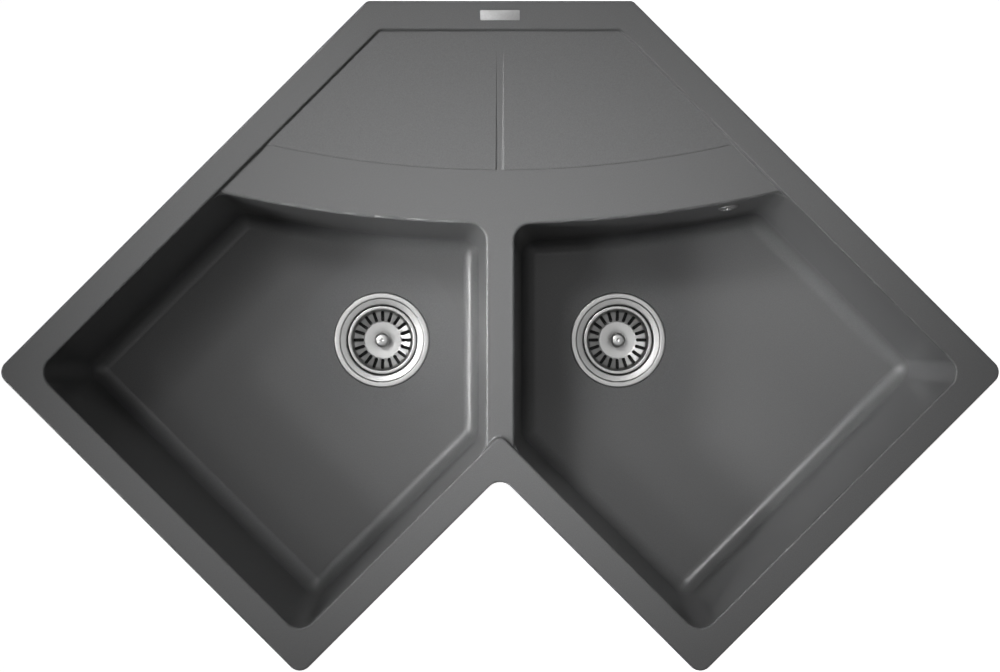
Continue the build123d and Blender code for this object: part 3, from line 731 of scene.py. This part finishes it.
# A tube along a path: its radius is the cuffs' near both ends and follows a wave between them
def makeHoseTree():
    tree = bpy.data.node_groups.new("ribbedHose", "GeometryNodeTree")
    addSocket(tree, "Path", "INPUT", "NodeSocketGeometry")
    for label in ("Pitch", "Trough", "Crest", "Cuff Radius", "Cuff Length"):
        addSocket(tree, label, "INPUT")
    addSocket(tree, "Material", "INPUT", "NodeSocketMaterial")
    addSocket(tree, "Hose", "OUTPUT", "NodeSocketGeometry")
    ins = addNode(tree, "NodeGroupInput", (-1200, 0))
    outs = addNode(tree, "NodeGroupOutput", (1000, 0))
    link = tree.links.new
    fine = addNode(tree, "ShaderNodeMath", (-1000, 200), operation="DIVIDE")
    fine.inputs[1].default_value = hose["ribSteps"]
    link(ins.outputs["Pitch"], fine.inputs[0])
    even = addNode(tree, "GeometryNodeResampleCurve", (-800, 200), mode="LENGTH")
    link(ins.outputs["Path"], even.inputs["Curve"])
    link(fine.outputs[0], even.inputs["Length"])
    along = addNode(tree, "GeometryNodeSplineParameter", (-1000, -200))
    whole = addNode(tree, "GeometryNodeSplineLength", (-1000, -350))
    phase = addNode(tree, "ShaderNodeMath", (-800, -100), operation="DIVIDE")
    link(along.outputs["Length"], phase.inputs[0])
    link(ins.outputs["Pitch"], phase.inputs[1])
    angle = addNode(tree, "ShaderNodeMath", (-620, -100), operation="MULTIPLY")
    angle.inputs[1].default_value = math.tau
    link(phase.outputs[0], angle.inputs[0])
    wave = addNode(tree, "ShaderNodeMath", (-440, -100), operation="SINE")
    link(angle.outputs[0], wave.inputs[0])
    ribs = addNode(tree, "ShaderNodeMapRange", (-260, -50))
    ribs.inputs["From Min"].default_value = -hose["ribFlats"]
    ribs.inputs["From Max"].default_value = hose["ribFlats"]
    link(wave.outputs[0], ribs.inputs["Value"])
    link(ins.outputs["Trough"], ribs.inputs["To Min"])
    link(ins.outputs["Crest"], ribs.inputs["To Max"])
    rest = addNode(tree, "ShaderNodeMath", (-800, -350), operation="SUBTRACT")
    link(whole.outputs["Length"], rest.inputs[0])
    link(along.outputs["Length"], rest.inputs[1])
    near = addNode(tree, "ShaderNodeMath", (-620, -350), operation="MINIMUM")
    link(along.outputs["Length"], near.inputs[0])
    link(rest.outputs[0], near.inputs[1])
    beyond = addNode(tree, "ShaderNodeMath", (-440, -350), operation="SUBTRACT")
    link(near.outputs[0], beyond.inputs[0])
    link(ins.outputs["Cuff Length"], beyond.inputs[1])
    free = addNode(tree, "ShaderNodeMapRange", (-260, -350))
    free.inputs["From Min"].default_value = -hose["cuffStep"] / 1000
    free.inputs["From Max"].default_value = hose["cuffStep"] / 1000
    link(beyond.outputs[0], free.inputs["Value"])
    pick = addNode(tree, "ShaderNodeMix", (-60, -200), data_type="FLOAT")
    link(free.outputs["Result"], pick.inputs[0])
    link(ins.outputs["Cuff Radius"], pick.inputs[2])
    link(ribs.outputs["Result"], pick.inputs[3])
    ring = addNode(tree, "GeometryNodeCurvePrimitiveCircle", (150, -200))
    ring.inputs["Resolution"].default_value = hose["facets"]
    ring.inputs["Radius"].default_value = 1.0
    tube = addNode(tree, "GeometryNodeCurveToMesh", (400, 0))
    link(even.outputs["Curve"], tube.inputs["Curve"])
    link(ring.outputs["Curve"], tube.inputs["Profile Curve"])
    link(pick.outputs[0], tube.inputs["Scale"])
    real = addNode(tree, "GeometryNodeRealizeInstances", (600, 0))
    paint = addNode(tree, "GeometryNodeSetMaterial", (800, 0))
    link(tube.outputs["Mesh"], real.inputs["Geometry"])
    link(real.outputs["Geometry"], paint.inputs["Geometry"])
    link(ins.outputs["Material"], paint.inputs["Material"])
    link(paint.outputs["Geometry"], outs.inputs["Hose"])
    return tree


# Straight down from the elbow, a quarter bend, and level to the right waste
def hosePath():
    top, drain = Vector(hose["top"]), Vector(drainAt)
    level, bend, steps = hose["level"], hose["bend"], hose["bendSteps"]
    away = (Vector(top.xy) - drain).normalized()
    inward = Vector((-away.x, -away.y, 0))
    start = Vector((top.x, top.y, level + bend))
    centre = start + inward * bend
    end = Vector((*(drain + away * hose["endFromDrain"]), level))
    arc = []
    for i in range(steps + 1):
        a = math.pi / 2 * i / steps
        arc.append(centre - inward * bend * math.cos(a) - Vector((0, 0, bend)) * math.sin(a))
    return [top, *arc, end]


def makeHose():
    line = bpy.data.curves.new("hosePath", "CURVE")
    line.dimensions = "3D"
    spline = line.splines.new("POLY")
    points = hosePath()
    spline.points.add(len(points) - 1)
    for point, at in zip(spline.points, points):
        point.co = (*(at / 1000), 1.0)
    sizes = {"Pitch": "pitch", "Trough": "trough", "Crest": "crest",
             "Cuff Radius": "cuffRadius", "Cuff Length": "cuff"}
    values = {label: hose[key] / 1000 for label, key in sizes.items()}
    values["Material"] = materials["hose"]
    mesh = runTree("overflowHose", line, makeHoseTree(), values)
    inward = ("SOLIDIFY", {"thickness": hose["wall"] / 1000, "offset": -1.0})
    mesh = bake(addObject("overflowHose", mesh), [inward])
    addPiece("ribbedHose", mesh, "sink", "hose", ("overflow_hose",), sharp=hose["sharp"])


makeHose()
print("hose made")


# Threads of the waste outlets

thread = {
    "radius": 23.45,
    "ridge": 0.85,
    "ridgeFacets": 6,
    "pitch": 2.309,
    "turns": 14.5,
    "turnSteps": 64,
    "low": -307.0,
    "sharp": 70.0,
}


# A ridge of round section that winds up around the Z axis
def makeThreadTree():
    tree = bpy.data.node_groups.new("threadRidge", "GeometryNodeTree")
    for label in ("Radius", "Pitch", "Turns", "Ridge"):
        addSocket(tree, label, "INPUT")
    addSocket(tree, "Material", "INPUT", "NodeSocketMaterial")
    addSocket(tree, "Thread", "OUTPUT", "NodeSocketGeometry")
    ins = addNode(tree, "NodeGroupInput", (-900, 0))
    outs = addNode(tree, "NodeGroupOutput", (700, 0))
    link = tree.links.new
    rise = addNode(tree, "ShaderNodeMath", (-700, -150), operation="MULTIPLY")
    link(ins.outputs["Pitch"], rise.inputs[0])
    link(ins.outputs["Turns"], rise.inputs[1])
    coil = addNode(tree, "GeometryNodeCurveSpiral", (-450, 100))
    coil.inputs["Resolution"].default_value = thread["turnSteps"]
    link(ins.outputs["Turns"], coil.inputs["Rotations"])
    link(ins.outputs["Radius"], coil.inputs["Start Radius"])
    link(ins.outputs["Radius"], coil.inputs["End Radius"])
    link(rise.outputs[0], coil.inputs["Height"])
    steady = addNode(tree, "GeometryNodeSetCurveNormal", (-250, 100), mode="Z_UP")
    link(coil.outputs["Curve"], steady.inputs["Curve"])
    ridge = addNode(tree, "GeometryNodeCurvePrimitiveCircle", (-250, -150))
    ridge.inputs["Resolution"].default_value = thread["ridgeFacets"]
    link(ins.outputs["Ridge"], ridge.inputs["Radius"])
    swept = addNode(tree, "GeometryNodeCurveToMesh", (0, 50))
    swept.inputs["Fill Caps"].default_value = True
    link(steady.outputs["Curve"], swept.inputs["Curve"])
    link(ridge.outputs["Curve"], swept.inputs["Profile Curve"])
    real = addNode(tree, "GeometryNodeRealizeInstances", (250, 50))
    paint = addNode(tree, "GeometryNodeSetMaterial", (450, 50))
    link(swept.outputs["Mesh"], real.inputs["Geometry"])
    link(real.outputs["Geometry"], paint.inputs["Geometry"])
    link(ins.outputs["Material"], paint.inputs["Material"])
    link(paint.outputs["Geometry"], outs.inputs["Thread"])
    return tree


def makeThreads():
    tree = makeThreadTree()
    values = {name.title(): thread[name] / 1000 for name in ("radius", "pitch", "ridge")}
    values |= {"Turns": thread["turns"], "Material": materials["waste_plastic"]}
    for side in drains:
        empty = bpy.data.meshes.new("threadStart")
        mesh = runTree("outletThread", empty, tree, values)
        place = drains[side] @ Matrix.Translation((0, 0, thread["low"] / 1000))
        addPiece("outletThread_" + side, mesh, "sink", "waste_plastic", place=place,
                 sharp=thread["sharp"])


makeThreads()
print("threads made")


# Small parts whose CAD form is complete and only wants its edges broken

softEdges = {
    "badge_plate": 0.12,
    "overflow_rosette": 0.2,
    "overflow_screw": 0.25,
    "overflow_elbow": 0.4,
    "hose_clamps": 0.3,
    "clip_screws": 0.3,
}
clipEdge = 0.35
clipCount = 8
softening = {"flatAngle": 0.3, "edgeAngle": 40.0, "segments": 2}


def soften(node, width, body):
    shape = bmesh.new()
    shape.from_mesh(nodes[node].data)
    bmesh.ops.remove_doubles(shape, verts=shape.verts, dist=weldDistance)
    bmesh.ops.dissolve_limit(shape, angle_limit=math.radians(softening["flatAngle"]),
                             verts=shape.verts, edges=shape.edges)
    carrier = addObject(node + "Soft", meshFrom(node + "Soft", shape))
    mesh = bake(carrier, [bevel(width, softening["segments"], softening["edgeAngle"])])
    first, *others = node.split("_")
    name = first + "".join(word.title() for word in others) + "Soft"
    addPiece(name, mesh, body, slotOf[node], (node,), sharp=softening["edgeAngle"])


for node, width in softEdges.items():
    soften(node, width, "sink")
for i in range(1, clipCount + 1):
    soften(f"rim_clip_{i}", clipEdge, f"clip_{i}")
print("edges softened")


# Studio. A lamp's bearing turns from +X towards +Y, and its height is an angle too. Its
# distance is from the aim. Lengths here are metres, apart from the lens.

studio = {
    "aim": (0.07, -0.34, -0.05),
    "floorDrop": 0.004,
    "floorSize": 14.0,
    "floorShade": 0.9,
    "floorRoughness": 0.9,
    "floorGlow": 0.95,
    "backdrop": 1.0,
    "ambient": 0.004,
    "tent": 0.3,
    "lens": 71.0,
    "cameraAt": (0.0, -0.3597, 2.159),
    "farthest": 50.0,
}
white = (1.0, 1.0, 1.0, 1.0)
lamps = {
    "overhead": {"bearing": 0, "height": 90, "distance": 3.2,
                 "size": 2.0, "power": 7.0, "spread": 180},
    "keyLeft": {"bearing": 180, "height": 40, "distance": 2.6,
                "size": 0.45, "power": 0.57, "spread": 18},
    "keyLeftLow": {"bearing": 205, "height": 28, "distance": 2.6,
                   "size": 0.45, "power": 0.60, "spread": 24},
    "keyLeftHigh": {"bearing": 180, "height": 60, "distance": 2.6,
                    "size": 0.45, "power": 0.18, "spread": 20},
    "keyRearHigh": {"bearing": 135, "height": 60, "distance": 2.6,
                    "size": 0.45, "power": 0.63, "spread": 26},
    "rear": {"bearing": 90, "height": 40, "distance": 2.6,
             "size": 0.45, "power": 0.21, "spread": 30},
}


def addLamp(name, settings):
    light = bpy.data.lights.new(name + "Lamp", "AREA")
    light.size = settings["size"]
    light.energy = settings["power"]
    light.spread = math.radians(settings["spread"])
    lamp = addObject(name + "Lamp", light)
    bearing, height = math.radians(settings["bearing"]), math.radians(settings["height"])
    level = math.cos(height)
    away = Vector((math.cos(bearing) * level, math.sin(bearing) * level, math.sin(height)))
    lamp.location = Vector(studio["aim"]) + away * settings["distance"]
    lamp.rotation_euler = (-away).to_track_quat("-Z", "Y").to_euler()
    lamp.visible_camera = False


# The camera sees a pale backdrop, metal mirrors a grey tent, and little light comes from either
def makeWorld():
    world = bpy.data.worlds.new("studioWorld")
    scene.world = world
    world.use_nodes = True
    tree = world.node_tree
    tree.nodes.clear()
    link = tree.links.new
    out = addNode(tree, "ShaderNodeOutputWorld", (700, 0))
    seen = addNode(tree, "ShaderNodeLightPath", (-200, 300))
    tent = addNode(tree, "ShaderNodeMixShader", (300, -100))
    both = addNode(tree, "ShaderNodeMixShader", (500, 0))
    link(seen.outputs["Is Glossy Ray"], tent.inputs[0])
    link(seen.outputs["Is Camera Ray"], both.inputs[0])
    targets = {"ambient": tent.inputs[1], "tent": tent.inputs[2], "backdrop": both.inputs[2]}
    for i, (name, target) in enumerate(targets.items()):
        back = addNode(tree, "ShaderNodeBackground", (50, -150 * i))
        back.inputs["Color"].default_value = white
        back.inputs["Strength"].default_value = studio[name]
        link(back.outputs["Background"], target)
    link(tent.outputs["Shader"], both.inputs[1])
    link(both.outputs["Shader"], out.inputs["Surface"])


def makeFloor():
    half = studio["floorSize"] / 2
    level = cadBox[0].z - studio["floorDrop"]
    mesh = bpy.data.meshes.new("studioFloor")
    corners = [(-half, -half), (half, -half), (half, half), (-half, half)]
    mesh.from_pydata([(x, y, level) for x, y in corners], [], [(0, 1, 2, 3)])
    floor = addObject("studioFloor", mesh)
    paint, _, shader, _ = newMaterial("palePaper")
    shader.inputs["Base Color"].default_value = (*[studio["floorShade"]] * 3, 1.0)
    shader.inputs["Roughness"].default_value = studio["floorRoughness"]
    shader.inputs["Emission Color"].default_value = white
    shader.inputs["Emission Strength"].default_value = studio["floorGlow"]
    mesh.materials.append(paint)


def makeCamera():
    lens = bpy.data.cameras.new("photoCamera")
    lens.lens = studio["lens"]
    lens.clip_end = studio["farthest"]
    camera = addObject("photoCamera", lens)
    camera.location = studio["cameraAt"]
    scene.camera = camera


def makeStudio():
    scene.view_settings.view_transform = "Standard"
    scene.view_settings.look = "None"
    makeWorld()
    makeFloor()
    makeCamera()
    for name, settings in lamps.items():
        addLamp(name, settings)


makeStudio()
print("studio ready")
